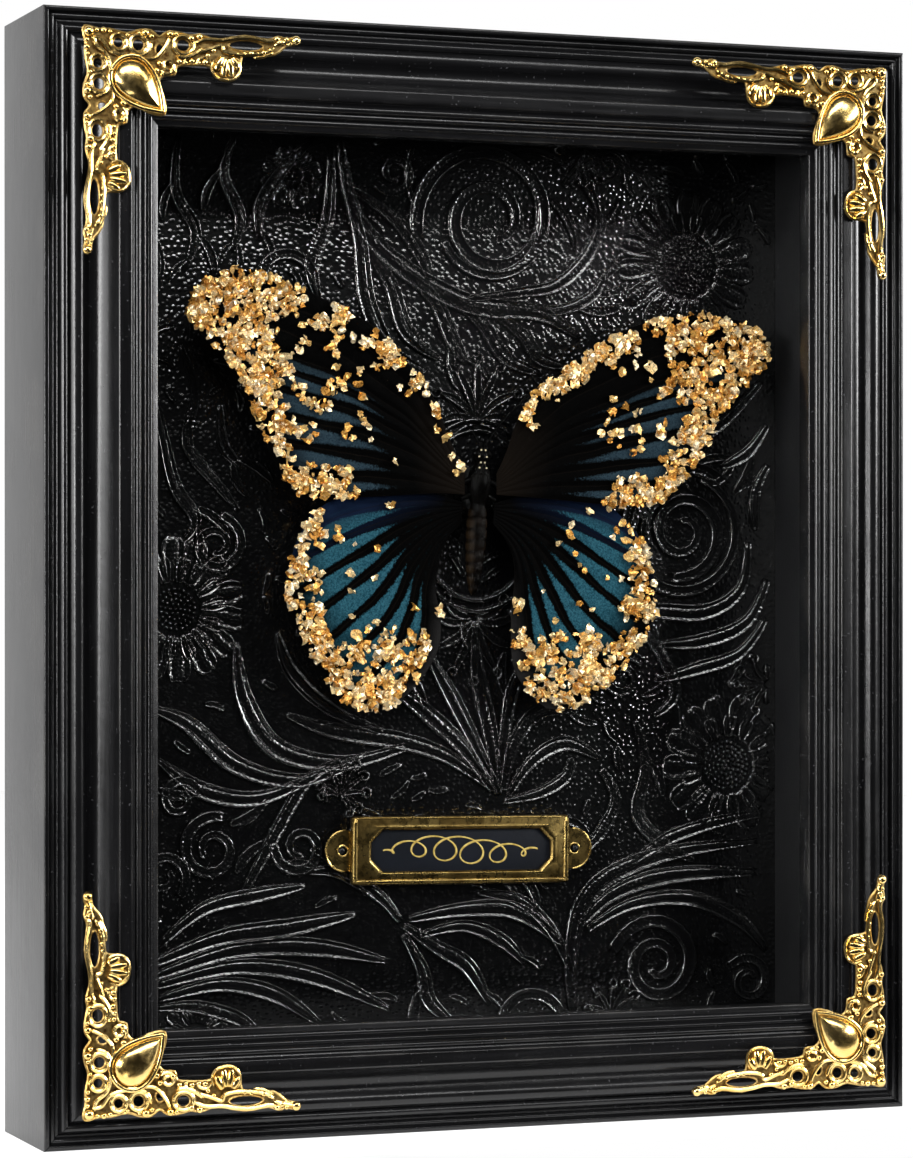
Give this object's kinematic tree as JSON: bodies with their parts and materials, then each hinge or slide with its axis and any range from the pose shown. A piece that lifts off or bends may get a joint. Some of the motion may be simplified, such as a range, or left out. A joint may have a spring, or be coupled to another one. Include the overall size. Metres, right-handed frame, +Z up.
{
  "type": "framed butterfly specimen",
  "caption": "Black moulded shadow-box frame with gilt filigree corners, holding a gilded swallowtail over tooled leather with a brass label holder; stands or hangs.",
  "frame": {"origin": "middle of the base, at the bottom centre of the bounding box", "axes": "+Z up the frame's long side, the glazed front faces -Y, +X to the right as seen from the front"},
  "size_m": [0.218, 0.0468, 0.26],
  "materials": {
    "black_wood": "satin black paint over fine wood grain",
    "clear_glass": "clear, polished",
    "black_card": "matt black",
    "label_card": "matt black with a gilt flourish",
    "tooled_leather": "black, tooled with flowers and scrolls, glossy on the raised parts",
    "backing_board": "dark hardboard, matt",
    "black_steel": "black, low gloss",
    "zinc_steel": "zinc plated",
    "gilt_metal": "bright gold plate, polished high points and darker hollows",
    "aged_brass": "antiqued, rubbed bright on the edges",
    "wing_membrane": "velvet black with deep blue and teal rays",
    "gold_leaf": "crumpled gold leaf flakes",
    "insect_body": "dark brown, fine hairs, semi-gloss",
    "black_foam": "matt black foam"
  },
  "bodies": {
    "root": {"antenna_left": "insect_body", "antenna_right": "insect_body", "backing_board": "backing_board", "butterfly_body": "insect_body", "corner_ornament_bottom_left": "gilt_metal", "corner_ornament_bottom_right": "gilt_metal", "corner_ornament_top_left": "gilt_metal", "corner_ornament_top_right": "gilt_metal", "embossed_leather": "tooled_leather", "forewing_left": "wing_membrane", "forewing_right": "wing_membrane", "gilding_forewing_left": "gold_leaf", "gilding_forewing_right": "gold_leaf", "gilding_hindwing_left": "gold_leaf", "gilding_hindwing_right": "gold_leaf", "glass_pane": "clear_glass", "hanger_nail_left": "zinc_steel", "hanger_nail_right": "zinc_steel", "hindwing_left": "wing_membrane", "hindwing_right": "wing_membrane", "label_card": "label_card", "label_holder": "aged_brass", "label_pin_left": "black_steel", "label_pin_right": "black_steel", "mount_board": "black_card", "point_bottom_1": "black_steel", "point_bottom_2": "black_steel", "point_left_1": "black_steel", "point_left_2": "black_steel", "point_right_1": "black_steel", "point_right_2": "black_steel", "point_top_1": "black_steel", "point_top_2": "black_steel", "rail_bottom": "black_wood", "rail_left": "black_wood", "rail_right": "black_wood", "rail_top": "black_wood", "sawtooth_hanger": "zinc_steel", "spacer_bottom": "black_card", "spacer_left": "black_card", "spacer_right": "black_card", "spacer_top": "black_card", "specimen_block": "black_foam"}
  },
  "joints": []
}
